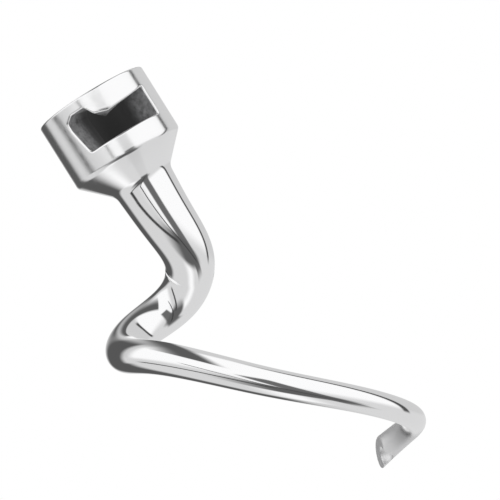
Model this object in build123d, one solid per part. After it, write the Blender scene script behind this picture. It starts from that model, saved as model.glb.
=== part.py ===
"""Dough hook of a stand mixer: one steel casting, with a socket for the mixer's spindle at the top
and a tapering round bar that sweeps once round the bowl.

Millimetres. The origin is the middle of the socket's mouth and +Z runs up the spindle. A turn is
measured round +Z from +X, and an angle on the drum from -Y towards +X.
"""

import math
import os

from build123d import *

# What the socket takes: a half-inch spindle with one pin that stands out on one side
SPINDLE_RADIUS = 6.35
SPINDLE_CLEARANCE = 0.2
PIN_DIAMETER = 4.8
PIN_REACH = 12.4
PIN_CLEARANCE = 0.6

# Hub: a drum with a cone below it
DRUM_RADIUS = 17.1
DRUM_LENGTH = 20.4
DRUM_TOP_ROUNDING = 0.5
DRUM_LOW_ROUNDING = 2.0
CONE_ANGLE = 45.0
NECK_FILLET = 3.5
BORE_DEPTH = 24.0
BORE_POINT_ANGLE = 118.0

# Window in the drum: angles on the drum, depths below its top face
WINDOW_RIGHT = 57.0
WINDOW_LEFT = -32.0
WINDOW_LEFT_LOW = -26.0
WINDOW_TOP = 5.7
WINDOW_BOTTOM = 14.8
WINDOW_CORNER = 0.8
WINDOW_LOW_CORNER = 2.2
WINDOW_EDGE = 0.5

# Notch above the window's left end, where the spring holds the pin, and the nose that keeps it there
NOTCH_TOP = 3.1
NOTCH_LEFT = -24.0
NOTCH_RIGHT = -9.5
NOTCH_SIDE_TOP = 4.6
NOTCH_SIDE_BOTTOM = 7.0
NOTCH_CORNER = 1.3
NOSE_LEFT = -4.0
NOSE_RIGHT = 9.5
NOSE_LEFT_DROP = 0.3
NOSE_RIGHT_DROP = 1.6
NOSE_CORNER = 1.2

# Keyway that lets the pin down from the mouth into the window's right end
KEYWAY_ANGLE = 39.0

# Bar: its radius, and where its middle runs
NECK_RADIUS = 9.3
NECK_BURIAL = 2.2
THIN_RADIUS = 3.5
TIP_RADIUS = 4.3
TAPER_POWER = 2.8
TIP_SWELL_START = 0.84
SWEEP_RADIUS = 34.0
ELBOW_DEPTH = 64.3
TIP_DEPTH = 134.8
# Turn, share of the sweep radius, share of the elbow's depth
SHANK_STATIONS = [
    (0.0, 0.0, 0.50),
    (75.0, 0.003, 0.60),
    (75.0, 0.022, 0.69),
    (97.0, 0.12, 0.83),
    (132.0, 0.44, 0.97),
]
# Turn, share of the sweep radius, share of the drop from the elbow to the tip
ARM_STATIONS = [
    (165.0, 0.76, 0.0),
    (191.0, 0.90, 0.035),
    (230.0, 1.02, 0.112),
    (270.0, 1.01, 0.4085),
    (307.0, 0.935, 0.676),
    (352.0, 0.875, 0.888),
    (385.0, 0.835, 0.946),
    (424.0, 0.797, 1.0),
]
RINGS = 30

# Tip: cut on the slant so that its lower lip is the longer, with a hollow in its front side
TIP_FACE_TURN = 190.0
TIP_FACE_RISE = 19.0
TIP_FACE_SETBACK = 4.9
TIP_FACE_EDGE = 0.6
TIP_CUTTER_RADIUS = 7.5
TIP_CUTTER_SHIFT = 1.0
DISH_RADIUS = 3.1
DISH_FORWARD = 3.7
DISH_DROP = 1.1

BORE_RADIUS = SPINDLE_RADIUS + SPINDLE_CLEARANCE
KEYWAY_WIDTH = PIN_DIAMETER + 2 * PIN_CLEARANCE
KEYWAY_REACH = PIN_REACH + PIN_CLEARANCE
WINDOW_MIDDLE = (WINDOW_RIGHT + WINDOW_LEFT) / 2
CONE_SLOPE = math.tan(math.radians(CONE_ANGLE))
NECK_DEPTH = DRUM_LENGTH + (DRUM_RADIUS - NECK_RADIUS) / CONE_SLOPE - NECK_BURIAL


def hub():
    """Turned body: the drum with rounded rims and the cone, which ends inside the neck."""
    buried_radius = 0.75 * NECK_RADIUS
    cone_length = (DRUM_RADIUS - buried_radius) / CONE_SLOPE
    profile = Polyline(
        (0, 0),
        (DRUM_RADIUS, 0),
        (DRUM_RADIUS, -DRUM_LENGTH),
        (buried_radius, -DRUM_LENGTH - cone_length),
        (0, -DRUM_LENGTH - cone_length),
        close=True,
    )
    body = revolve(Plane.XZ * make_face(profile), Axis.Z)
    rims = body.edges().filter_by(GeomType.CIRCLE).sort_by(Axis.Z)
    body = fillet(rims[-2], DRUM_LOW_ROUNDING)
    top_rim = body.edges().filter_by(GeomType.CIRCLE).sort_by(Axis.Z)[-1]
    return fillet(top_rim, DRUM_TOP_ROUNDING)


def station(turn, reach, depth):
    """Point of the route from its turn round the spindle, its reach and its depth."""
    angle = math.radians(turn)
    return (reach * math.cos(angle), reach * math.sin(angle), -depth)


def route():
    """Smooth line of the bar's middle, from inside the cone to the tip."""
    drop = TIP_DEPTH - ELBOW_DEPTH
    points = [(0, 0, -NECK_DEPTH)]
    for turn, reach, share in SHANK_STATIONS:
        points.append(station(turn, reach * SWEEP_RADIUS, share * ELBOW_DEPTH))
    for turn, reach, share in ARM_STATIONS:
        points.append(station(turn, reach * SWEEP_RADIUS, ELBOW_DEPTH + share * drop))
    return Spline(points)


def bar_radius(share):
    """Thins fast below the neck, runs nearly even round the arm and swells a little at the tip."""
    taper = (NECK_RADIUS - THIN_RADIUS) * (1 - share) ** TAPER_POWER
    swell = max(0.0, (share - TIP_SWELL_START) / (1 - TIP_SWELL_START)) ** 2
    return THIN_RADIUS + taper + (TIP_RADIUS - THIN_RADIUS) * swell


def bar():
    """Round bar lofted through rings that stand square to its route."""
    line = route()
    rings = []
    across = Vector(0, 1, 0)
    for i in range(RINGS + 1):
        share = i / RINGS
        along = line.tangent_at(share)
        across = (across - along * across.dot(along)).normalized()
        ring_plane = Plane(line.position_at(share), x_dir=across, z_dir=along)
        rings.append(ring_plane * Circle(bar_radius(share)))
    return loft(rings)


def window_cut():
    """Cutter with radial walls: the window's outline outside the drum, narrowed towards the axis."""
    outside = 1.1 * DRUM_RADIUS
    inside = 0.5 * BORE_RADIUS
    corners = [
        (WINDOW_RIGHT, WINDOW_TOP, WINDOW_CORNER),
        (WINDOW_RIGHT, WINDOW_BOTTOM, WINDOW_CORNER),
        (WINDOW_LEFT_LOW, WINDOW_BOTTOM, WINDOW_LOW_CORNER),
        (WINDOW_LEFT, NOTCH_SIDE_BOTTOM, WINDOW_CORNER),
        (WINDOW_LEFT, NOTCH_SIDE_TOP, WINDOW_CORNER),
        (NOTCH_LEFT, NOTCH_TOP, NOTCH_CORNER),
        (NOTCH_RIGHT, NOTCH_TOP, NOTCH_CORNER),
        (NOSE_LEFT, WINDOW_TOP + NOSE_LEFT_DROP, NOSE_CORNER),
        (NOSE_RIGHT, WINDOW_TOP + NOSE_RIGHT_DROP, NOSE_CORNER),
    ]
    points = [
        (outside * math.tan(math.radians(angle - WINDOW_MIDDLE)), -depth)
        for angle, depth, _ in corners
    ]
    outline = make_face(FilletPolyline(points, radius=[corner[2] for corner in corners], close=True))
    narrow = scale(outline, by=(inside / outside, 1, 1))
    facing = Plane(origin=(0, 0, 0), x_dir=(1, 0, 0), z_dir=(0, -1, 0))
    cutter = loft([facing.offset(outside) * outline, facing.offset(inside) * narrow], ruled=True)
    return Rot(0, 0, WINDOW_MIDDLE) * cutter


def keyway_cut():
    """Upright slot from the mouth down into the window, as wide and deep as the pin needs."""
    floor = (WINDOW_TOP + WINDOW_BOTTOM) / 2
    slot = Box(KEYWAY_WIDTH, KEYWAY_REACH, floor, align=(Align.CENTER, Align.MAX, Align.MAX))
    return Rot(0, 0, KEYWAY_ANGLE) * slot


def bore_cut():
    """Blind bore with the cone that the drill leaves."""
    point_length = BORE_RADIUS / math.tan(math.radians(BORE_POINT_ANGLE / 2))
    profile = Polyline(
        (0, 0),
        (BORE_RADIUS, 0),
        (BORE_RADIUS, -BORE_DEPTH),
        (0, -BORE_DEPTH - point_length),
        close=True,
    )
    return revolve(Plane.XZ * make_face(profile), Axis.Z)


def on_drum(edge):
    """True for an edge that lies on the drum's wall, between its two rounded rims."""
    spots = [edge.position_at(share) for share in (0, 0.25, 0.5, 0.75, 1)]
    round_wall = all(abs(math.hypot(spot.X, spot.Y) - DRUM_RADIUS) < 0.02 for spot in spots)
    deepest = min(spot.Z for spot in spots)
    highest = max(spot.Z for spot in spots)
    return round_wall and highest < -DRUM_TOP_ROUNDING - 0.1 and deepest > -WINDOW_BOTTOM - 0.1


def tip_face(line):
    """Plane of the slanted cut, set back from the route's end."""
    turn = math.radians(TIP_FACE_TURN)
    rise = math.radians(TIP_FACE_RISE)
    facing = Vector(math.cos(turn) * math.cos(rise), math.sin(turn) * math.cos(rise), math.sin(rise))
    middle = line.position_at(1) - line.tangent_at(1) * TIP_FACE_SETBACK
    forward = Vector(-math.sin(turn), math.cos(turn), 0)
    return Plane(middle, x_dir=forward, z_dir=facing)


def in_neck(edge):
    """True for an edge of the seam between the cone and the bar."""
    depth = -edge.position_at(0.5).Z
    return edge.geom_type != GeomType.LINE and NECK_DEPTH < depth < NECK_DEPTH + NECK_RADIUS


def trimmed_bar():
    """Bar with its end cut on the slant, the cut's rim rounded, and the hollow let into it."""
    facing = tip_face(route())
    ends = (Align.CENTER, Align.CENTER, Align.MIN)
    cutter = Cylinder(TIP_CUTTER_RADIUS, 2 * TIP_CUTTER_RADIUS, align=ends)
    trimmed = bar() - facing * Pos(TIP_CUTTER_SHIFT, 0, 0) * cutter
    slant = trimmed.faces().filter_by(lambda face: abs(facing.to_local_coords(face.center()).Z) < 0.01)
    trimmed = fillet(slant.edges(), TIP_FACE_EDGE)
    return trimmed - facing * Pos(DISH_FORWARD, -DISH_DROP, 0) * Sphere(DISH_RADIUS)


def dough_hook():
    """The whole casting."""
    drum = hub() - window_cut()
    window_edges = [edge for edge in drum.edges() if on_drum(edge)]
    drum = fillet(window_edges, WINDOW_EDGE)
    casting = drum + trimmed_bar()
    neck_seam = [edge for edge in casting.edges() if in_neck(edge)]
    casting = fillet(neck_seam, NECK_FILLET)
    return casting - bore_cut() - keyway_cut()


if __name__ == "__main__":
    os.makedirs("parts", exist_ok=True)
    export_step(dough_hook(), "parts/dough_hook.step")
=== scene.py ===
# %% [markdown]
# # A dough hook in polished steel
#
# The hook is one steel casting: a drum that takes the mixer's spindle, a cone below it, and a round bar that
# thins as it sweeps once round the bowl. The solid model already holds it at its real size. Here it gets a
# finer skin, because polished steel mirrors its surroundings and shows every flat of a coarse mesh, and then
# its finish, its light and its camera.

# %% Load the solid model as the frame
import math

import bmesh
import bpy
import numpy as np
from mathutils import Matrix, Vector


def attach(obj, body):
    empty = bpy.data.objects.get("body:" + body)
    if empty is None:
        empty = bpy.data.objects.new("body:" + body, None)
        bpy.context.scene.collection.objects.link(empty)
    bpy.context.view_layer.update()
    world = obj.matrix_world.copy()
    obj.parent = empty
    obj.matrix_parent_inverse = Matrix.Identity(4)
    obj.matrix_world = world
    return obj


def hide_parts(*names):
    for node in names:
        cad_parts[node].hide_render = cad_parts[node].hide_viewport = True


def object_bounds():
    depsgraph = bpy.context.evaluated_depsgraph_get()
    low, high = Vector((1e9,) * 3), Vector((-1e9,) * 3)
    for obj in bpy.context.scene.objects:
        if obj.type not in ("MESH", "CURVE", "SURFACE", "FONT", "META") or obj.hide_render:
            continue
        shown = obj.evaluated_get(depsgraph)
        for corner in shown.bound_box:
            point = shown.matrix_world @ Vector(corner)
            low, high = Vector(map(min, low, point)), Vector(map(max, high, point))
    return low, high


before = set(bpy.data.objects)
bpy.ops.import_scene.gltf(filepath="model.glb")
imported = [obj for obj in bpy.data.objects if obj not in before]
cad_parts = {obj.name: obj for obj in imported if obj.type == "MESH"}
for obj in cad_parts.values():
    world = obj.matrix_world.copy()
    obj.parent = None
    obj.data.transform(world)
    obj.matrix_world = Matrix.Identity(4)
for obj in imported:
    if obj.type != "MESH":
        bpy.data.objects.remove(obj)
cad_box = [list(corner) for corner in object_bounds()]
MM = 0.001


def in_millimetres(box):
    """Both corners of a box in metres, divided by the length of a millimetre and rounded to a tenth."""
    return [[round(value / MM, 1) for value in corner] for corner in box]


print("solid model's box, mm:", in_millimetres(cad_box))

# %% [markdown]
# ## The sizes of the hub
#
# All sizes are the real ones, in millimetres. The hub hangs with its mouth at the origin and its axis along
# Z, so a depth is how far something lies below the mouth. An angle on the drum is counted from the front,
# which is -Y, towards +X. The window is the opening that the spindle's locking pin turns in, and the
# keyway is the upright slot that lets the pin down into it.

# %% Name the sizes of the hub
BORE_RADIUS = 6.55
BORE_DEPTH = 24.0
BORE_POINT_DEPTH = 27.94
BORE_FLOOR_ROUNDING = 0.4
DRUM_RADIUS = 17.1
DRUM_LENGTH = 20.4
MOUTH_ROUNDING = 0.25
TOP_ROUNDING = 0.5
LOW_ROUNDING = 2.0
NECK_ROUNDING = 3.5
WINDOW_ROUNDING = 0.5
KEYWAY = {"angle": 39.0, "width": 6.0, "reach": 13.0, "depth": 10.25}

# Angle on the drum, depth and corner radius of the window's corners, from its low right end clockwise
WINDOW_CORNERS = np.array([
    (57.0, 14.8, 0.8),
    (-26.0, 14.8, 2.2),
    (-32.0, 7.0, 0.8),
    (-32.0, 4.6, 0.8),
    (-24.0, 3.1, 1.3),
    (-9.5, 3.1, 1.3),
    (-4.0, 6.0, 1.2),
    (9.5, 7.3, 1.2),
    (57.0, 5.7, 0.8),
])
WINDOW_MIDDLE = (WINDOW_CORNERS[:, 0].min() + WINDOW_CORNERS[:, 0].max()) / 2
print("drum", 2 * DRUM_RADIUS, "mm across, with a window of", len(WINDOW_CORNERS), "corners")

# %% [markdown]
# ## The sizes of the bar
#
# A bent bar is best told by stations on its middle line, as a bender's drawing does: how far it has turned
# round the spindle, how far out it is, and how deep. The shank comes down from the neck, the elbow is where
# it turns over, and the arm is the long sweep from there to the tip. The bar thins fast below the neck, is
# even along the arm and swells a little at the tip, which is cut on the slant and hollowed.

# %% Name the sizes of the bar
NECK_DEPTH = 26.0
NECK_RADIUS = 9.3
THIN_RADIUS = 3.5
TIP_RADIUS = 4.3
TAPER_POWER = 2.8
TIP_SWELL_START = 0.84
SWEEP_RADIUS = 34.0
ELBOW_DEPTH = 64.3
TIP_DEPTH = 134.8
# Turn round the spindle from +X, share of the sweep's radius, share of the elbow's depth
SHANK_STATIONS = np.array([
    (0.0, 0.0, 0.50),
    (75.0, 0.003, 0.60),
    (75.0, 0.022, 0.69),
    (97.0, 0.12, 0.83),
    (132.0, 0.44, 0.97),
])
# Turn, share of the sweep's radius, share of the drop from the elbow to the tip
ARM_STATIONS = np.array([
    (165.0, 0.76, 0.0),
    (191.0, 0.90, 0.035),
    (230.0, 1.02, 0.112),
    (270.0, 1.01, 0.4085),
    (307.0, 0.935, 0.676),
    (352.0, 0.875, 0.888),
    (385.0, 0.835, 0.946),
    (424.0, 0.797, 1.0),
])
TIP_FACE = {"turn": 190.0, "rise": 19.0, "setback": 4.9, "rounding": 0.8}
TIP_HOLLOW = {"radius": 3.1, "forward": 3.7, "drop": 1.1}


def stations():
    """Point of each station, as x = reach cos turn, y = reach sin turn, z = -depth, with the neck's first."""
    turn = np.radians(np.r_[0.0, SHANK_STATIONS[:, 0], ARM_STATIONS[:, 0]])
    reach = SWEEP_RADIUS * np.r_[0.0, SHANK_STATIONS[:, 1], ARM_STATIONS[:, 1]]
    shank_depth = SHANK_STATIONS[:, 2] * ELBOW_DEPTH
    arm_depth = ELBOW_DEPTH + ARM_STATIONS[:, 2] * (TIP_DEPTH - ELBOW_DEPTH)
    depth = np.r_[NECK_DEPTH, shank_depth, arm_depth]
    return np.c_[reach * np.cos(turn), reach * np.sin(turn), -depth]


print(len(stations()), "stations on the bar's middle line")

# %% [markdown]
# ## The line of the bar
#
# A smith would bend the bar over a former. Here a cubic spline runs through the stations, because its bend
# changes smoothly, which matters more on this hook than anywhere: a jump in the bend would show as a kink in
# every reflection. A curve object could hold such a spline too, but the skin below needs points and headings
# at lengths of its own choosing, so the line is worked out for all its points at once.

# %% Work out the smooth line
LINE_POINTS = 6001


def unit(vectors):
    """Each vector divided by its own length."""
    return vectors / np.linalg.norm(vectors, axis=-1, keepdims=True)


def end_slope(knots, points):
    """Slope at the first of four points of the cubic through them, as a weighted sum of the points."""
    gaps = knots[0] - knots[1:]
    others = [(1, 2, 3), (0, 2, 3), (0, 1, 3), (0, 1, 2)]
    scale = np.array([np.prod(knots[i] - knots[list(rest)]) for i, rest in enumerate(others)])
    first = gaps[0] * gaps[1] + gaps[0] * gaps[2] + gaps[1] * gaps[2]
    weights = np.array([first, gaps[1] * gaps[2], gaps[0] * gaps[2], gaps[0] * gaps[1]]) / scale
    return weights @ points


def smooth_line(points, count):
    """Cubic spline with knots at the summed chords. Each piece is the cubic that fits the points and slopes
    of two stations, and one linear system gives the slopes that make the second derivative continuous."""
    chords = np.linalg.norm(np.diff(points, axis=0), axis=1)
    knots = np.r_[0, np.cumsum(chords)]
    inner = np.arange(1, len(points) - 1)
    system = np.eye(len(points))
    system[inner, inner - 1] = chords[1:]
    system[inner, inner] = 2 * (chords[:-1] + chords[1:])
    system[inner, inner + 1] = chords[:-1]
    rise = np.diff(points, axis=0) / chords[:, None]
    wanted = np.zeros_like(points)
    wanted[0] = end_slope(knots[:4], points[:4])
    wanted[-1] = end_slope(knots[::-1][:4], points[::-1][:4])
    wanted[1:-1] = 3 * (chords[1:, None] * rise[:-1] + chords[:-1, None] * rise[1:])
    slopes = np.linalg.solve(system, wanted)

    at = np.linspace(0, knots[-1], count)
    piece = np.clip(np.searchsorted(knots, at, side="right") - 1, 0, len(chords) - 1)
    span = chords[piece][:, None]
    w = (at - knots[piece])[:, None] / span
    return (
        points[piece] * (2 * w**3 - 3 * w**2 + 1)
        + slopes[piece] * span * (w**3 - 2 * w**2 + w)
        + points[piece + 1] * (3 * w**2 - 2 * w**3)
        + slopes[piece + 1] * span * (w**3 - w**2)
    )


line = smooth_line(stations(), LINE_POINTS)
line_at = np.r_[0, np.cumsum(np.linalg.norm(np.diff(line, axis=0), axis=1))]
line_length = line_at[-1]
heading = unit(np.gradient(line, line_at, axis=0))
print("bar's middle line:", round(line_length, 1), "mm long")

# %% [markdown]
# ## The bar as a carried circle
#
# A circle carried along the line makes the bar. Blender's own curve bevel would do that too, but its rings
# can't be steered, and these have to meet the hub's columns. So each ring is set square to the line, and its
# zero is kept steady by one fixed direction that the bar never runs along, so that the rings don't twist.


# %% Carry a circle along the line
def on_line(values, length):
    """Values kept along the line, read at any array of lengths by straight interpolation."""
    return np.stack([np.interp(length, line_at, column) for column in values.T], axis=-1)


def bar_radius(length):
    """Radius = thin + (neck - thin) (1 - share)^power, plus a swell near the tip that grows as a square."""
    share = np.clip(length / line_length, 0, 1)
    taper = (NECK_RADIUS - THIN_RADIUS) * (1 - share) ** TAPER_POWER
    swell = np.clip((share - TIP_SWELL_START) / (1 - TIP_SWELL_START), 0, None) ** 2
    return THIN_RADIUS + taper + (TIP_RADIUS - THIN_RADIUS) * swell


STEADY = np.array([0.55, -0.45, 0.7])


def bar_point(length, angle):
    """Centre(length) + radius(length) (cos angle e1 + sin angle e2), with e1 and e2 square to the line."""
    ahead = on_line(heading, length)
    e1 = unit(np.cross(STEADY, ahead))
    e2 = np.cross(ahead, e1)
    ring = np.cos(angle)[..., None] * e1 + np.sin(angle)[..., None] * e2
    return on_line(line, length) + bar_radius(length)[..., None] * ring


neck_and_tip = bar_radius(np.array([0.0, line_length])).round(1).tolist()
print("bar's radius at the neck and at the tip, mm:", neck_and_tip)

# %% [markdown]
# ## One skin from the drum to the tip
#
# Drum, cone and bar could be three meshes pushed into each other, but a casting has no seams. So one set of
# columns runs from the bore, over the drum's rim, down the cone and along the bar to its tip. On the hub the
# rows are circles round the axis. The columns stand closer together where the window is, and a plain frame of
# cells is left open there for it.

# %% Lay out the columns
WINDOW_FRAME = {"left": -42.0, "right": 64.0, "top": 1.9, "bottom": 16.6}
WINDOW_COLUMNS = 44
WINDOW_ROWS = 20
REST_COLUMNS = 100
front_angles = np.linspace(WINDOW_FRAME["left"], WINDOW_FRAME["right"], WINDOW_COLUMNS + 1)
rest_angles = np.linspace(WINDOW_FRAME["right"], WINDOW_FRAME["left"] + 360, REST_COLUMNS + 1)
columns = np.radians(np.r_[front_angles[:-1], rest_angles[:-1]])
patches = []


def add_patch(name, points, around=True):
    """Keeps a grid of points in millimetres, rows by columns, and whether its columns close on themselves."""
    patches.append({"points": points, "around": around})
    print(name, "grid:", points.shape[:2])


def round_axis(radius, depth, angle):
    """Point of a turned surface: x = r sin angle, y = -r cos angle, z = -depth."""
    radius, depth, angle = np.broadcast_arrays(radius, depth, angle)
    return np.stack([radius * np.sin(angle), -radius * np.cos(angle), -depth], axis=-1)


print(len(columns), "columns round the hub")

# %% [markdown]
# ## The turned surfaces
#
# A lathe would cut the bore, the drum and the cone from one profile, and Spin would do the same to a drawn
# edge. Here a profile is a few corners with an arc at each, worked out as points, so that its roundings are
# true arcs and its ends lie exactly on the window's frame. The cone slopes by 45 degrees, so radius and depth
# add up to the same all the way down, and the neck goes on from it with the bar's own taper.

# %% Turn the bore, the mouth and the shoulder
ARC_POINTS = 9
FINE_ARC_POINTS = 13
POLE_RADIUS = 0.001
BAR_START = NECK_DEPTH + 6.0


def rounded_line(corners, radii, steps=ARC_POINTS):
    """Runs through the corners with each inner one replaced by an arc. With h for half the angle between
    its legs, an arc of radius r touches both at r / tan h, and its centre is on the bisector at r / sin h."""
    corners = np.asarray(corners, float)
    radii = np.asarray(radii, float)[:, None]
    here = corners[1:-1]
    back = unit(corners[:-2] - here)
    ahead = unit(corners[2:] - here)
    half = np.arccos(np.clip((back * ahead).sum(1), -1, 1))[:, None] / 2
    centre = here + unit(back + ahead) * radii / np.sin(half)
    start = here + back * radii / np.tan(half)
    spoke = (start - centre) / radii
    side = unit(-back - spoke * (-back * spoke).sum(1)[:, None])
    swing = np.linspace(0, 1, steps)[None, :, None] * (np.pi - 2 * half)[:, None]
    rays = spoke[:, None] * np.cos(swing) + side[:, None] * np.sin(swing)
    arcs = centre[:, None] + radii[:, None] * rays
    return np.concatenate([corners[:1], arcs.reshape(-1, 2), corners[-1:]])


def turned(name, profile):
    """Surface of revolution: each point of the profile, as radius and depth, becomes a full row."""
    add_patch(name, round_axis(profile[:, :1], profile[:, 1:], columns[None, :]))


bore_corners = [
    (POLE_RADIUS, BORE_POINT_DEPTH),
    (BORE_RADIUS, BORE_DEPTH),
    (BORE_RADIUS, WINDOW_FRAME["bottom"]),
]
turned("bore's floor", rounded_line(bore_corners, [BORE_FLOOR_ROUNDING]))

mouth_corners = [
    (BORE_RADIUS, WINDOW_FRAME["top"]),
    (BORE_RADIUS, 0),
    (DRUM_RADIUS, 0),
    (DRUM_RADIUS, WINDOW_FRAME["top"]),
]
turned("mouth", rounded_line(mouth_corners, [MOUTH_ROUNDING, TOP_ROUNDING]))

# The line falls steadily over its first half, so a depth there has one length
first_half = slice(0, LINE_POINTS // 2)
start_length = float(np.interp(BAR_START, -line[first_half, 2], line_at[first_half]))
start_radius = float(bar_radius(start_length))
neck_slope = float(bar_radius(start_length - 1.0)) - start_radius
cone_sum = DRUM_RADIUS + DRUM_LENGTH
cone_depth = (cone_sum - start_radius - neck_slope * BAR_START) / (1 - neck_slope)
cone_radius = cone_sum - cone_depth
shoulder_corners = [
    (DRUM_RADIUS, WINDOW_FRAME["bottom"]),
    (DRUM_RADIUS, DRUM_LENGTH),
    (cone_radius, cone_depth),
    (start_radius, BAR_START),
]
turned("shoulder", rounded_line(shoulder_corners, [LOW_ROUNDING, NECK_ROUNDING], FINE_ARC_POINTS))
print("cone meets the neck at depth", round(cone_depth, 2), "and radius", round(cone_radius, 2))

# %% [markdown]
# ## Where the bar ends
#
# The tip's end face is cut on the slant. Cutting the bar with a Boolean would leave a ragged rim, so instead
# each column is followed to the place where it meets the face, and stops there. The columns start where the
# hub's columns end, so the turn of the first ring is set from theirs.

# %% Find the rim of the end face
PROBE_REACH = 16
PROBE_POINTS = 1200
ring_zero = np.cross(STEADY, (0, 0, -1))
bar_columns = math.atan2(ring_zero[1], ring_zero[0]) + math.pi / 2 - columns

face_turn = math.radians(TIP_FACE["turn"])
face_rise = math.radians(TIP_FACE["rise"])
face_normal = np.array([
    math.cos(face_turn) * math.cos(face_rise),
    math.sin(face_turn) * math.cos(face_rise),
    math.sin(face_rise),
])
face_middle = on_line(line, np.array(line_length - TIP_FACE["setback"]))

# The rim lies between the last length behind the face and the first in front of it
probe = np.linspace(line_length - PROBE_REACH, line_length, PROBE_POINTS)
probe_length, probe_angle = np.meshgrid(probe, bar_columns, indexing="ij")
in_front = (bar_point(probe_length, probe_angle) - face_middle) @ face_normal
crossing = np.argmax(in_front > 0, axis=0)
beside = np.arange(len(bar_columns))
after = in_front[crossing, beside]
before = in_front[crossing - 1, beside]
rim_length = probe[crossing] - (probe[1] - probe[0]) * after / (after - before)
rim_setback = line_length - rim_length
print("columns end", rim_setback.min().round(1), "to", rim_setback.max().round(1), "mm before the line does")

# %% [markdown]
# ## The bar and its tip
#
# The rows run from the hub's last ring to just short of the rim, a little closer together towards the tip. A
# short curve then rounds the bar over onto its end face, which closes in rings to its middle.

# %% Lay the bar and round its tip
BAR_ROWS = 380
BAR_CROWDING = 0.9
ROUNDING_ROWS = 9
FACE_ROWS = 12
PINCH = 0.0001
share = np.linspace(0, 1, BAR_ROWS)[:, None] ** BAR_CROWDING
end_length = rim_length - TIP_FACE["rounding"]
bar_length = start_length + share * (end_length[None, :] - start_length)
bar = bar_point(bar_length, np.broadcast_to(bar_columns, bar_length.shape))
bar[0] = round_axis(start_radius, BAR_START, columns)
add_patch("bar", bar)

rim = bar_point(rim_length, bar_columns)
rim_middle = rim.mean(axis=0)
face_edge = rim + TIP_FACE["rounding"] * unit(rim_middle - rim)
w = np.linspace(0, 1, ROUNDING_ROWS)[:, None, None]
add_patch("tip's rounding", (1 - w) ** 2 * bar[-1] + 2 * w * (1 - w) * rim + w**2 * face_edge)
w = np.linspace(0, 1 - PINCH, FACE_ROWS)[:, None, None]
add_patch("tip's face", face_edge * (1 - w) + rim_middle * w)

# %% [markdown]
# ## The outline of the window
#
# The window could be cut with a Boolean, but a Boolean leaves slivers that a mirror finish shows. Instead its
# outline is drawn on a flat sheet that stands in front of the drum and is carried towards the axis, which
# gives the radial walls of the real one. The outline gets as many points as the open frame has, most of them
# on its rounded corners, and four of those corners go with the corners of the frame.

# %% Draw the outline of the window
SHEET_REACH = 1.1
FRAME_PARTNERS = np.array([0, 1, 4, 8])
ARC_STEP = 0.5
ARC_WEIGHT = 4.0


def window_outline():
    """Angle and depth of the outline's points. On the sheet, x = reach tan(angle - middle) and the corners
    are arcs. Each of the four sides is walked in even steps, where short steps, which lie on an arc, count
    ARC_WEIGHT times as long as they are."""
    sheet = SHEET_REACH * DRUM_RADIUS
    across = sheet * np.tan(np.radians(WINDOW_CORNERS[:, 0] - WINDOW_MIDDLE))
    flat = np.c_[across, WINDOW_CORNERS[:, 1]]
    loop = np.concatenate([flat[-1:], flat, flat[:1]])
    arcs = rounded_line(loop, WINDOW_CORNERS[:, 2], FINE_ARC_POINTS)[1:-1]
    ends = FRAME_PARTNERS * FINE_ARC_POINTS + FINE_ARC_POINTS // 2
    sides = []
    for first, last, count in zip(ends, np.roll(ends, -1), (WINDOW_COLUMNS, WINDOW_ROWS) * 2):
        stop = last if last > first else last + len(arcs)
        run = arcs[np.arange(first, stop + 1) % len(arcs)]
        step = np.linalg.norm(np.diff(run, axis=0), axis=1)
        walk = np.r_[0, np.cumsum(step * np.where(step < ARC_STEP, ARC_WEIGHT, 1.0))]
        at = np.linspace(0, walk[-1], count, endpoint=False)
        sides.append(np.c_[np.interp(at, walk, run[:, 0]), np.interp(at, walk, run[:, 1])])
    across, depth = np.concatenate(sides).T
    return np.c_[np.radians(WINDOW_MIDDLE) + np.arctan(across / sheet), depth]


outline = window_outline()
outline_ends = np.degrees([outline[:, 0].min(), outline[:, 0].max()]).round(1).tolist()
print("outline:", len(outline), "points, between these angles on the drum:", outline_ends)

# %% [markdown]
# ## The skin round the window
#
# Rings of cells lead from the open frame to the outline, once on the drum's wall and once in the bore, and
# crowd together near the edge. The same outline, carried towards the axis, makes the window's walls, and a
# quarter round softens their outer edge, as polishing does. Last come the plain stretches of the drum's wall
# and of the bore beside the window.

# %% Close the skin round the window
RING_ROWS = 9
RING_CROWDING = 0.7
EDGE_ROWS = 7
WALL_ROWS = 9
left, right = math.radians(WINDOW_FRAME["left"]), math.radians(WINDOW_FRAME["right"])
top, bottom = WINDOW_FRAME["top"], WINDOW_FRAME["bottom"]


def spread(start, end, count):
    """Evenly spaced points of a straight run, start (1 - share) + end share, without its end."""
    share = np.linspace(0, 1, count, endpoint=False)[:, None]
    return np.asarray(start) * (1 - share) + np.asarray(end) * share


frame_loop = np.concatenate([
    spread((right, bottom), (left, bottom), WINDOW_COLUMNS),
    spread((left, bottom), (left, top), WINDOW_ROWS),
    spread((left, top), (right, top), WINDOW_COLUMNS),
    spread((right, top), (right, bottom), WINDOW_ROWS),
])

# Step away from the outline on the drum's own surface, where a turn of one radian is a radius long
along = np.roll(outline, -1, axis=0) - np.roll(outline, 1, axis=0)
along[:, 0] *= DRUM_RADIUS
step_away = unit(np.c_[along[:, 1], -along[:, 0]])
from_middle = (outline - outline.mean(axis=0)) * (DRUM_RADIUS, 1)
step_away *= np.sign((from_middle * step_away).sum(axis=1).mean())
step_away[:, 0] /= DRUM_RADIUS


def around_window(name, radius, edge):
    """Rings between the open frame and an edge, frame (1 - w) + edge w, with w crowded near the edge."""
    w = np.linspace(0, 1, RING_ROWS)[:, None, None] ** RING_CROWDING
    flat = frame_loop * (1 - w) + edge * w
    add_patch(name, round_axis(radius, flat[..., 1], flat[..., 0]))


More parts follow.
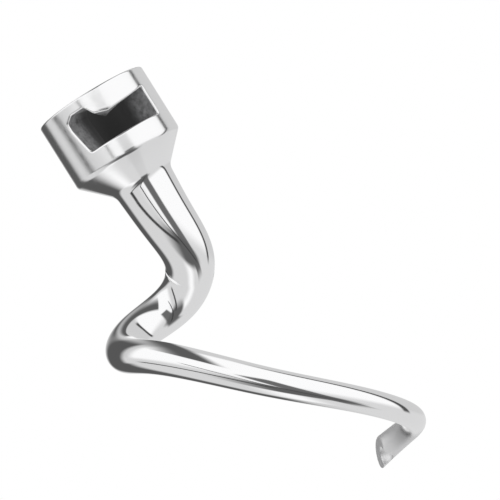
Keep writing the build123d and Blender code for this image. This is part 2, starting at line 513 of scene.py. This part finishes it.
around_window("wall round the window", DRUM_RADIUS, outline + WINDOW_ROUNDING * step_away)
around_window("bore round the window", BORE_RADIUS, outline)

quarter = np.linspace(0, np.pi / 2, EDGE_ROWS)[:, None]
edge = outline + WINDOW_ROUNDING * (1 - np.sin(quarter))[..., None] * step_away
edge_radius = DRUM_RADIUS - WINDOW_ROUNDING * (1 - np.cos(quarter))
add_patch("window's edge", round_axis(edge_radius, edge[..., 1], edge[..., 0]))
wall_radius = np.linspace(DRUM_RADIUS - WINDOW_ROUNDING, BORE_RADIUS, WALL_ROWS)[:, None]
add_patch("window's walls", round_axis(wall_radius, outline[:, 1], outline[:, 0]))

wall_depth = np.linspace(top, bottom, WINDOW_ROWS + 1)[:, None]
for name, radius in (("drum's wall", DRUM_RADIUS), ("bore's wall", BORE_RADIUS)):
    add_patch(name, round_axis(radius, wall_depth, np.radians(rest_angles)), around=False)

# %% [markdown]
# ## From patches to one closed skin
#
# The patches share their border points exactly, so merging doubles closes the skin. Normals are turned
# outwards after that, because only a closed skin says which side is out. The count of open edges is the test
# that nothing gapes, and the volume can be held against that of the solid.

# %% Build the mesh
MERGE_PATCHES = 2e-6
MERGE_CUTS = 1e-7


def mesh_from_patches(name, patches):
    """Numbers the points of all patches, and makes a face of each four neighbours on a grid."""
    points, faces = [], []
    first = 0
    for patch in patches:
        grid = patch["points"]
        rows, cols = grid.shape[:2]
        index = first + np.arange(rows * cols).reshape(rows, cols)
        ahead = np.roll(index, -1, axis=1) if patch["around"] else index[:, 1:]
        here = index if patch["around"] else index[:, :-1]
        faces.append(np.stack([here[:-1], ahead[:-1], ahead[1:], here[1:]], axis=-1).reshape(-1, 4))
        points.append(grid.reshape(-1, 3))
        first += rows * cols
    points = np.concatenate(points) * MM
    faces = np.concatenate(faces)
    mesh = bpy.data.meshes.new(name)
    mesh.vertices.add(len(points))
    mesh.vertices.foreach_set("co", points.astype(np.float32).ravel())
    mesh.loops.add(faces.size)
    mesh.loops.foreach_set("vertex_index", faces.astype(np.int32).ravel())
    mesh.polygons.add(len(faces))
    mesh.polygons.foreach_set("loop_start", np.arange(0, faces.size, 4, dtype=np.int32))
    mesh.update(calc_edges=True)
    return mesh


def close_skin(mesh, distance):
    """Merges points closer than a distance and turns all faces outwards. Gives the count of edges that don't
    join exactly two faces, and the volume in cubic millimetres."""
    work = bmesh.new()
    work.from_mesh(mesh)
    bmesh.ops.remove_doubles(work, verts=work.verts, dist=distance)
    bmesh.ops.dissolve_degenerate(work, edges=work.edges, dist=distance)
    bmesh.ops.recalc_face_normals(work, faces=work.faces)
    open_edges = sum(1 for edge in work.edges if len(edge.link_faces) != 2)
    volume = work.calc_volume(signed=True) / MM**3
    work.to_mesh(mesh)
    work.free()
    return open_edges, round(volume)


skin = mesh_from_patches("dough_hook_skin", patches)
open_edges, volume = close_skin(skin, MERGE_PATCHES)
hook = bpy.data.objects.new("polished_hook", skin)
bpy.context.scene.collection.objects.link(hook)
print("skin:", len(skin.polygons), "faces,", open_edges, "open edges,", volume, "mm3")

# %% [markdown]
# ## The keyway and the hollow
#
# The keyway is milled down from the mouth into the window, and the hollow is a ball's print in the front side
# of the tip. Both go through plain or hidden surfaces, where the slivers of a Boolean don't show, so here a
# Boolean is the quick and true way: a box and a ball are taken out of the skin and thrown away.


# %% Cut the keyway and the hollow
def box_mesh(name, low, high, angle):
    """Box with corners at low (1 - c) + high c, for c of 0 or 1 on each axis, turned about Z by an angle."""
    corner = np.array([(x, y, z) for x in (0, 1) for y in (0, 1) for z in (0, 1)], float)
    points = np.asarray(low) * (1 - corner) + np.asarray(high) * corner
    c, s = math.cos(angle), math.sin(angle)
    points[:, :2] = points[:, :2] @ np.array([[c, s], [-s, c]])
    faces = [(0, 1, 3, 2), (4, 6, 7, 5), (0, 4, 5, 1), (2, 3, 7, 6), (0, 2, 6, 4), (1, 5, 7, 3)]
    mesh = bpy.data.meshes.new(name)
    mesh.from_pydata((points * MM).tolist(), [], faces)
    return mesh


def ball_mesh(name, centre, radius, rows=32, cols=64):
    """Sphere: centre + radius (sin a cos b, sin a sin b, cos a)."""
    a = np.linspace(0, np.pi, rows)[:, None]
    b = np.linspace(0, 2 * np.pi, cols, endpoint=False)[None, :]
    ball = np.stack([np.sin(a) * np.cos(b), np.sin(a) * np.sin(b), np.cos(a) + 0 * b], axis=-1)
    return mesh_from_patches(name, [{"points": centre + radius * ball, "around": True}])


def cut(target, tool_mesh):
    """Takes the tool's volume out of the target with an exact Boolean, and throws the tool away."""
    close_skin(tool_mesh, MERGE_CUTS)
    tool = bpy.data.objects.new("tool", tool_mesh)
    bpy.context.scene.collection.objects.link(tool)
    boolean = target.modifiers.new("cut", "BOOLEAN")
    boolean.operation = "DIFFERENCE"
    boolean.solver = "EXACT"
    boolean.object = tool
    bpy.context.view_layer.update()
    result = bpy.data.meshes.new_from_object(target.evaluated_get(bpy.context.evaluated_depsgraph_get()))
    target.modifiers.clear()
    target.data = result
    bpy.data.objects.remove(tool)
    return len(result.polygons)


# The slot starts a little above the mouth, so that it opens there cleanly
SLOT_HEADROOM = 1
slot_low = (-KEYWAY["width"] / 2, -KEYWAY["reach"], -KEYWAY["depth"])
slot_high = (KEYWAY["width"] / 2, 0, SLOT_HEADROOM)
slot = box_mesh("slot", slot_low, slot_high, math.radians(KEYWAY["angle"]))
print("faces after the keyway:", cut(hook, slot))

forward = np.array([-math.sin(face_turn), math.cos(face_turn), 0])
face_up = np.cross(face_normal, forward)
hollow_centre = face_middle + TIP_HOLLOW["forward"] * forward - TIP_HOLLOW["drop"] * face_up
print("faces after the hollow:", cut(hook, ball_mesh("hollow", hollow_centre, TIP_HOLLOW["radius"])))

open_edges, volume = close_skin(hook.data, MERGE_CUTS)
print("finished skin:", open_edges, "open edges,", volume, "mm3")

# %% [markdown]
# ## Smooth shading and the tie to the solid
#
# Smooth shading blends the light across the faces, and edges sharper than a set angle stay crisp, as the
# window's inner edges are. The Weighted Normal modifier lets large faces lead, which keeps the top face flat
# beside its rounded rim. The skin then takes the solid's place for the eye and moves with the same body. It
# is left out of its own mirror images, because they broke up the elbow, which is calm on the real one.

# %% Shade the skin and tie it to the solid
CRISP_ANGLE = 28
polygons = hook.data.polygons
polygons.foreach_set("use_smooth", np.ones(len(polygons), bool))
hook.data.set_sharp_from_angle(angle=math.radians(CRISP_ANGLE))
weighted = hook.modifiers.new("even_normals", "WEIGHTED_NORMAL")
weighted.keep_sharp = True
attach(hook, "root")
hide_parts("dough_hook")
hook.visible_glossy = False
corner_counts = np.empty(len(polygons), np.int32)
polygons.foreach_get("loop_total", corner_counts)
print("finished skin:", int((corner_counts - 2).sum()), "triangles")

# %% [markdown]
# ## Small helpers for shaders
#
# A material in Blender is a graph of nodes. Each helper here makes one node, sets it and hands back its
# output, so that the materials below read like formulas. A value is either written on a socket or the output
# of another node.


# %% Name the helpers
def feed(tree, value, socket):
    """Gives a socket its value: a number or a colour is written on it, and an output is linked to it."""
    if isinstance(value, (int, float, tuple)):
        socket.default_value = value
    else:
        tree.links.new(value, socket)


def math_node(tree, operation, first, second=0.5):
    """One operation on two values, such as first + second. An operation on one value ignores the second."""
    node = tree.nodes.new("ShaderNodeMath")
    node.operation = operation
    feed(tree, first, node.inputs[0])
    feed(tree, second, node.inputs[1])
    return node.outputs[0]


def all_of(tree, *masks):
    """Product of masks, which is 1 only where all of them are."""
    result = masks[0]
    for mask in masks[1:]:
        result = math_node(tree, "MULTIPLY", result, mask)
    return result


def part_of(tree, vector, axis):
    """One coordinate of a vector."""
    node = tree.nodes.new("ShaderNodeSeparateXYZ")
    feed(tree, vector, node.inputs[0])
    return node.outputs[axis]


def noise(tree, vector, scale, detail, roughness=0.5):
    """Cloudy noise, with the scale in clouds per metre, and finer layers laid over it by detail."""
    node = tree.nodes.new("ShaderNodeTexNoise")
    for name, value in (("Vector", vector), ("Scale", scale), ("Detail", detail), ("Roughness", roughness)):
        feed(tree, value, node.inputs[name])
    return node.outputs["Fac"]


def remap(tree, value, low, high, to_low=0.0, to_high=1.0):
    """Straight ramp: to_low at low, to_high at high, and level beyond both. Low may be above high."""
    node = tree.nodes.new("ShaderNodeMapRange")
    names = ("Value", "From Min", "From Max", "To Min", "To Max")
    for name, number in zip(names, (value, low, high, to_low, to_high)):
        feed(tree, number, node.inputs[name])
    return node.outputs["Result"]


def soft(tree, value, low, high):
    """Smooth step 3 t^2 - 2 t^3 from 0 at low to 1 at high. With low above high it falls instead."""
    falls = float(low > high)
    result = remap(tree, value, min(low, high), max(low, high), falls, 1.0 - falls)
    result.node.interpolation_type = "SMOOTHSTEP"
    return result


def mix(tree, kind, factor, first, second):
    """First (1 - factor) + second factor, of two colours (RGBA) or of two values (FLOAT)."""
    node = tree.nodes.new("ShaderNodeMix")
    node.data_type = kind
    for name, value in (("Factor", factor), ("A", first), ("B", second)):
        feed(tree, value, node.inputs[name])
    return node.outputs["Result"]


helpers = (math_node, all_of, part_of, noise, remap, soft, mix)
print("shader helpers:", [helper.__name__ for helper in helpers])

# %% [markdown]
# ## Where the wheel can't reach
#
# A polishing wheel reaches all of the outside, but neither the window's walls nor the keyway and the bore, so
# the casting's own skin stays there. Two materials on separate faces would give a hard line. A mask worked
# out from the radius and the depth of each point follows the edges instead, and fades over a few tenths of a
# millimetre, as a worn edge does.

# %% Mark the unpolished places
# Radius or depth in millimetres where the polish is still full, and where it is gone
WALL_RADIUS_FADE = (16.75, 16.5)
WALL_DEPTH_FADE = (16.0, 15.7)
BORE_RADIUS_FADE = (6.9, 6.7)
BORE_DEPTH_FADE = (28.4, 28.2)
MOUTH_DEPTH_FADE = (0.1, 0.3)


def radius_and_depth(tree, place):
    """In millimetres: radius = length of (x, y, 0), and depth = -z."""
    flat = tree.nodes.new("ShaderNodeCombineXYZ")
    feed(tree, part_of(tree, place, "X"), flat.inputs["X"])
    feed(tree, part_of(tree, place, "Y"), flat.inputs["Y"])
    reach = tree.nodes.new("ShaderNodeVectorMath")
    reach.operation = "LENGTH"
    feed(tree, flat.outputs[0], reach.inputs[0])
    radius = math_node(tree, "DIVIDE", reach.outputs["Value"], MM)
    depth = math_node(tree, "DIVIDE", part_of(tree, place, "Z"), -MM)
    return radius, depth


def where_unpolished(tree, radius, depth):
    """1 inside the drum's wall down to the window's floor, and in the bore. 0 at the mouth and outside."""
    in_wall = all_of(tree, remap(tree, radius, *WALL_RADIUS_FADE), remap(tree, depth, *WALL_DEPTH_FADE))
    in_bore = all_of(tree, remap(tree, radius, *BORE_RADIUS_FADE), remap(tree, depth, *BORE_DEPTH_FADE))
    below_mouth = remap(tree, depth, *MOUTH_DEPTH_FADE)
    return all_of(tree, math_node(tree, "MAXIMUM", in_wall, in_bore), below_mouth)


print("polish ends at radius", WALL_RADIUS_FADE, "mm in the window and", BORE_RADIUS_FADE, "mm below it")

# %% [markdown]
# ## The finish
#
# Polished steel is a metal that mirrors its surroundings almost sharply. The wheel leaves it very slightly
# wavy, so that reflected lines wander. It leaves the bar the brightest, the drum a little duller, and the
# turned top face and the back of the last bend duller again, where it only just reaches. Metallic at 1 and a
# low Roughness do this, and a faint Bump makes the waves. In the window the cast skin is a grey, grainy coat
# that mirrors nothing, and painted shade in its colour darkens it towards the bore, where little light gets
# in.

# %% Set the colours and the polish
STEEL = (0.91, 0.91, 0.915, 1)
CAST_DARK = (0.10, 0.10, 0.10, 1)
CAST_LIGHT = (0.42, 0.42, 0.43, 1)
# Painted shade: the near-black that the cast skin's colour is mixed towards, from full grain at the first
# radius to full shade at the second, in mm
PAINTED_SHADE = (0.012, 0.012, 0.012, 1)
PAINTED_SHADE_RADIUS_FADE = (13.5, 8.0)
BAR_ROUGHNESS = (0.03, 0.08)
DRUM_ROUGHNESS = 0.11
DRUM_DEPTH_FADE = (26.0, 22.0)
FACE_ROUGHNESS = 0.28
FACE_DEPTH_FADE = (0.12, 0.03)
BACK_ROUGHNESS = 0.5
BACK_FADE = (-3 * MM, 6 * MM)
LAST_BEND_DEPTH_FADE = (114, 121)
CAST_ROUGHNESS = 0.6
WAVE_HEIGHT = 0.00005
CAST_GRAIN = {"scale": 500.0, "detail": 4.0, "roughness": 0.7}
WHEEL_MARKS = {"scale": 900.0, "detail": 3.0}
WAVES = {"scale": 55.0, "detail": 1.0}
# The noise lies between these two values nearly everywhere
NOISE_LOW = 0.3
NOISE_HIGH = 0.7


def cast_grain_and_painted_shade(tree, place, radius):
    """Grains between two greys, with painted shade that turns them towards black as the radius shrinks."""
    grains = tree.nodes.new("ShaderNodeValToRGB")
    dark, light = grains.color_ramp.elements
    dark.position = NOISE_LOW
    dark.color = CAST_DARK
    light.position = NOISE_HIGH
    light.color = CAST_LIGHT
    feed(tree, noise(tree, place, **CAST_GRAIN), grains.inputs["Fac"])
    # Painted shade: the grains are mixed towards near-black as the radius falls, standing in for the shade
    # deep in the window and the bore
    return mix(tree, "RGBA", soft(tree, radius, *PAINTED_SHADE_RADIUS_FADE), grains.outputs["Color"], PAINTED_SHADE)


def steel_roughness(tree, place, depth, inside):
    """The wheel's marks, plus what the drum, the turned face and the back of the last bend add to them, and
    at least the cast skin's roughness where the mask says inside."""
    marks = remap(tree, noise(tree, place, **WHEEL_MARKS), NOISE_LOW, NOISE_HIGH, *BAR_ROUGHNESS)
    on_drum = remap(tree, depth, *DRUM_DEPTH_FADE, 0.0, DRUM_ROUGHNESS)
    on_face = remap(tree, depth, *FACE_DEPTH_FADE, 0.0, FACE_ROUGHNESS)
    behind = remap(tree, part_of(tree, place, "Y"), *BACK_FADE, 0.0, BACK_ROUGHNESS)
    on_last_bend = all_of(tree, behind, remap(tree, depth, *LAST_BEND_DEPTH_FADE))
    total = marks
    for more in (on_drum, on_face, on_last_bend):
        total = math_node(tree, "ADD", total, more)
    return math_node(tree, "MAXIMUM", total, math_node(tree, "MULTIPLY", inside, CAST_ROUGHNESS))


print("roughness", BAR_ROUGHNESS, "on the bar, and up to", DRUM_ROUGHNESS, "more on the drum")

# %% [markdown]
# ## The steel put together
#
# One material covers the whole casting, as one metal does on the real hook. The shader itself is the plain
# Principled BSDF, and the mask only turns its colour, its metal and its roughness from polished to cast. The
# waves are a bump and not a change of shape, because they are too low to show in anything but reflections.


# %% Put the steel together
def polished_steel():
    """Metal outside. Where the mask says inside, colour, roughness and metal give way to the cast skin, whose
    colour holds painted shade towards the bore.
    """
    material = bpy.data.materials.new("polished_steel")
    material.use_nodes = True
    tree = material.node_tree
    shader = tree.nodes["Principled BSDF"]
    place = tree.nodes.new("ShaderNodeTexCoord").outputs["Object"]
    radius, depth = radius_and_depth(tree, place)
    inside = where_unpolished(tree, radius, depth)
    colour = mix(tree, "RGBA", inside, STEEL, cast_grain_and_painted_shade(tree, place, radius))
    bump = tree.nodes.new("ShaderNodeBump")
    bump.inputs["Distance"].default_value = WAVE_HEIGHT
    feed(tree, noise(tree, place, **WAVES), bump.inputs["Height"])
    feed(tree, colour, shader.inputs["Base Color"])
    feed(tree, math_node(tree, "SUBTRACT", 1.0, inside), shader.inputs["Metallic"])
    feed(tree, steel_roughness(tree, place, depth, inside), shader.inputs["Roughness"])
    feed(tree, bump.outputs["Normal"], shader.inputs["Normal"])
    return material


steel = polished_steel()
for piece in [hook, *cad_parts.values()]:
    piece.data.materials.clear()
    piece.data.materials.append(steel)
print("steel made of", len(steel.node_tree.nodes), "nodes")

# %% [markdown]
# ## The tent as a map
#
# A mirror shows what stands round it, so the surroundings do the drawing. Steel like this is photographed in
# a white tent, and whatever isn't white in there shows as a line down the steel. Panels and lamps could be
# modelled, but a world painted by direction is lighter, and nothing of it can get into the picture.
#
# The directions are laid flat like a map round the point that the camera stands in. The distance from the
# map's middle is the angle away from the camera, in degrees, with 180 straight behind the hook. Across and
# upwards follow the picture, which is rolled, while level and height follow the room.

# %% Lay the directions flat
DEGREES = 180 / math.pi
ROLL = math.radians(32.1)
RIGHT = (math.cos(ROLL), 0, -math.sin(ROLL))
UP = (math.sin(ROLL), 0, math.cos(ROLL))
TOWARDS_CAMERA = (0, -1, 0)
# A hair over 1 keeps the root above zero straight ahead and straight behind
JUST_OVER_ONE = 1.0001
UNLIT_SLANT = 0.45
CABLE_LEAN = 0.55
CLOTH_MIDDLE = (10, -41)
CLOTH_SIZE = (46, 19)


def along_direction(tree, vector, fixed):
    """Dot product of a vector and a fixed direction."""
    node = tree.nodes.new("ShaderNodeVectorMath")
    node.operation = "DOT_PRODUCT"
    feed(tree, vector, node.inputs[0])
    feed(tree, fixed, node.inputs[1])
    return node.outputs["Value"]


def sheared(tree, value, other, slant):
    """Value + slant times the other, which lays a slanted line level."""
    return math_node(tree, "ADD", value, math_node(tree, "MULTIPLY", other, slant))


def from_oval(tree, across, upwards, middle, size):
    """Root of ((across - x) / width)^2 + ((upwards - y) / height)^2, which is 1 on the oval's edge."""
    squares = []
    for value, centre, half in zip((across, upwards), middle, size):
        share = math_node(tree, "DIVIDE", math_node(tree, "SUBTRACT", value, centre), half)
        squares.append(math_node(tree, "POWER", share, 2.0))
    return math_node(tree, "SQRT", math_node(tree, "ADD", *squares))


def tent_map(tree):
    """Measures of a direction, in degrees. Away = arccos of its part towards the camera. Others are its part
    along an axis, stretched by away / sin away so that they count in degrees too."""
    direction = tree.nodes.new("ShaderNodeTexCoord").outputs["Generated"]
    to_camera = along_direction(tree, direction, TOWARDS_CAMERA)
    away = math_node(tree, "MULTIPLY", math_node(tree, "ARCCOSINE", to_camera), DEGREES)
    square = math_node(tree, "POWER", to_camera, 2.0)
    sine = math_node(tree, "SQRT", math_node(tree, "SUBTRACT", JUST_OVER_ONE, square))
    stretch = math_node(tree, "DIVIDE", away, sine)
    axes = {"across": RIGHT, "upwards": UP, "level": (1, 0, 0), "height": (0, 0, 1)}
    at = {name: all_of(tree, along_direction(tree, direction, axis), stretch) for name, axis in axes.items()}
    turn = math_node(tree, "ARCTAN2", at["upwards"], at["across"])
    at["away"] = away
    at["bearing"] = math_node(tree, "MULTIPLY", turn, DEGREES)
    at["off right"] = math_node(tree, "ABSOLUTE", at["bearing"])
    at["slanted up"] = sheared(tree, at["upwards"], at["across"], UNLIT_SLANT)
    at["leaning"] = sheared(tree, at["level"], at["height"], CABLE_LEAN)
    at["off cloth"] = from_oval(tree, at["across"], at["upwards"], CLOTH_MIDDLE, CLOTH_SIZE)
    return at


print("picture rolled by", round(math.degrees(ROLL), 1), "degrees")

# %% [markdown]
# ## What hangs in the tent
#
# The front half is bright, the sides are a pale grey, and a few things are dark. The unlit upper left, the
# left of the back and its low left give the broad dark strips down shank and arm. The seam where front and
# back meet draws a fine line. A stand, a cloth with its tail and a cable, all near the camera, give the
# narrow ones. Straight behind the hook hangs the white backdrop, which gives the steel its white edges.
# Each thing is laid over those before it, with soft edges, and the camera itself sees plain white.

# %% Hang the tent
SIDES = 0.66
WHITE = 1.0
# Grey of each thing, and its edges. An edge is a measure from the map, in degrees (in shares of its size for
# the cloth), then where along it the thing begins to show, and from where it shows in full.
TENT = {
    "front": (1.06, [("away", 112, 96)]),
    "low right": (0.74, [("across", 10, 30), ("upwards", 10, -25)]),
    "low left": (0.72, [("across", 10, -15), ("upwards", 2, -22)]),
    "unlit left": (0.11, [("across", 4, -9), ("slanted up", 31, 38), ("across", -80, -25)]),
    "left of the back": (0.10, [("away", 112, 124), ("away", 168, 150), ("off right", 110, 135)]),
    "seam": (
        0.08,
        [("away", 100.5, 104.5), ("away", 113.5, 109.5), ("bearing", -21, -7), ("bearing", 79, 65)],
    ),
    "low left of the back": (
        0.10,
        [("away", 102, 119), ("away", 162, 148), ("bearing", -157, -148), ("bearing", -85, -94)],
    ),
    "backdrop": (WHITE, [("away", 165, 175)]),
    "stand": (0.15, [("level", -2, 4), ("level", 26, 20), ("height", 8, 0), ("height", -90, -70)]),
    "cloth": (0.12, [("off cloth", 1.25, 0.75), ("across", -34, 10)]),
    "cloth's tail": (
        0.06,
        [("upwards", -39.5, -36.5), ("upwards", -30.5, -33.5), ("across", -95, -80), ("across", 14, 4)],
    ),
    "cable": (
        0.05,
        [("leaning", -21.8, -19.8), ("leaning", -16.2, -18.2), ("height", -68, -58), ("height", 28, 18)],
    ),
}


def tent_world():
    """Grey by direction: over the sides' grey, each thing mixes its own by the product of its soft edges."""
    world = bpy.data.worlds.new("tent")
    world.use_nodes = True
    tree = world.node_tree
    at = tent_map(tree)
    shown = SIDES
    for grey, edges in TENT.values():
        mask = all_of(tree, *[soft(tree, at[measure], start, full) for measure, start, full in edges])
        shown = mix(tree, "FLOAT", mask, shown, grey)
    path = tree.nodes.new("ShaderNodeLightPath")
    shown = mix(tree, "FLOAT", path.outputs["Is Camera Ray"], shown, WHITE)
    feed(tree, shown, tree.nodes["Background"].inputs["Color"])
    return world


scene = bpy.context.scene
scene.world = tent_world()
scene.view_settings.view_transform = "Standard"
print("tent with", len(TENT), "things in it, made of", len(scene.world.node_tree.nodes), "nodes")

# %% [markdown]
# ## The floor
#
# The hook hangs in the air, as it does in the mixer, a hand's width above a pale floor that stays out of the
# picture. A plain disc is enough for that. It is kept out of the steel's mirror images, where the tent alone
# does the drawing.

# %% Place the floor
FLOOR_GAP = 200.0
FLOOR_RADIUS = 500.0
FLOOR_SIDES = 96
FLOOR_COLOUR = (0.97, 0.97, 0.97, 1)
FLOOR_ROUGHNESS = 0.9


def disc_mesh(name, radius, height, sides):
    """Flat disc: (radius cos a, radius sin a, height), as one face."""
    angle = np.linspace(0, 2 * np.pi, sides, endpoint=False)
    points = np.c_[radius * np.cos(angle), radius * np.sin(angle), np.full(sides, height)]
    mesh = bpy.data.meshes.new(name)
    mesh.from_pydata(points.tolist(), [], [tuple(range(sides))])
    return mesh


floor_height = cad_box[0][2] - FLOOR_GAP * MM
floor = bpy.data.objects.new("floor", disc_mesh("floor", FLOOR_RADIUS * MM, floor_height, FLOOR_SIDES))
scene.collection.objects.link(floor)
floor.visible_glossy = False
floor_material = bpy.data.materials.new("pale_floor")
floor_material.use_nodes = True
floor_shader = floor_material.node_tree.nodes["Principled BSDF"]
floor_shader.inputs["Base Color"].default_value = FLOOR_COLOUR
floor_shader.inputs["Roughness"].default_value = FLOOR_ROUGHNESS
floor.data.materials.append(floor_material)
print("floor at", round(floor_height / MM, 1), "mm")

# %% [markdown]
# ## The camera
#
# The picture shows the hook tilted. The camera is level and turned about its own line of sight, which tilts
# the hook in the picture while it hangs upright in the room, and it stands half a metre away, as the
# perspective of the drum asks. The focal length comes from the size of the hook in the picture.

# %% Place the camera
IMAGE_SIZE = 500
FOCAL_PIXELS = 1735.0
SENSOR = 36.0
NEAREST = 0.01
CAMERA_PLACE = np.array([15.6, -500.0, -61.4]) * MM
camera_data = bpy.data.cameras.new("camera")
camera_data.sensor_width = SENSOR
camera_data.lens = FOCAL_PIXELS / IMAGE_SIZE * SENSOR
camera_data.clip_start = NEAREST
camera = bpy.data.objects.new("camera", camera_data)
scene.collection.objects.link(camera)
camera.matrix_world = Matrix(np.c_[RIGHT, UP, TOWARDS_CAMERA, CAMERA_PLACE].tolist() + [[0, 0, 0, 1]])
scene.camera = camera
print("lens of", round(camera_data.lens, 1), "mm")
